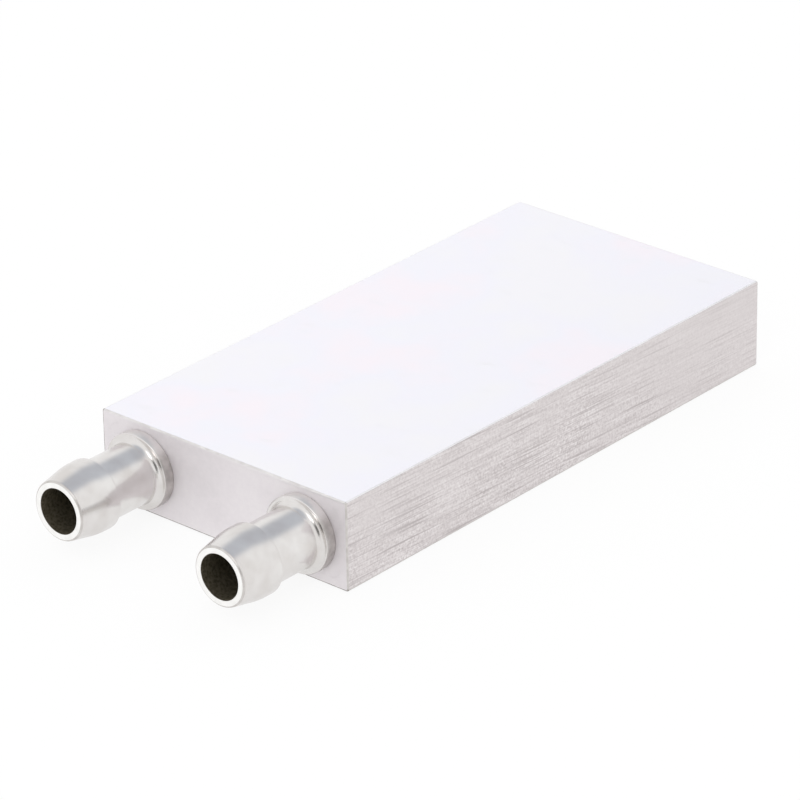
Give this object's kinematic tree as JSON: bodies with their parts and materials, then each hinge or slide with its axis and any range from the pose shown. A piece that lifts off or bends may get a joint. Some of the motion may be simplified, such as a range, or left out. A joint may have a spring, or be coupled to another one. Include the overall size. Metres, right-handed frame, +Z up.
{
  "type": "liquid cooling block",
  "caption": "Flat aluminium liquid cooling block: a ribbed extrusion closed by brazed end caps, with turned hose barbs on one end for coolant in and out.",
  "frame": {"origin": "centre of the lower contact face of the block", "axes": "+X across the block, +Y along the block from the barbs to the far end, +Z up through its thickness"},
  "size_m": [0.04, 0.095, 0.012],
  "materials": {
    "extruded_aluminium": "satin, lapped above and below, with fine belt-ground lines along the sides",
    "milled_aluminium": "fine matt, ground flush",
    "turned_aluminium": "bright turned"
  },
  "bodies": {
    "root": {"channel_body": "extruded_aluminium", "front_end_cap": "milled_aluminium", "rear_end_cap": "milled_aluminium", "inlet_barb": "turned_aluminium", "outlet_barb": "turned_aluminium"}
  },
  "joints": []
}
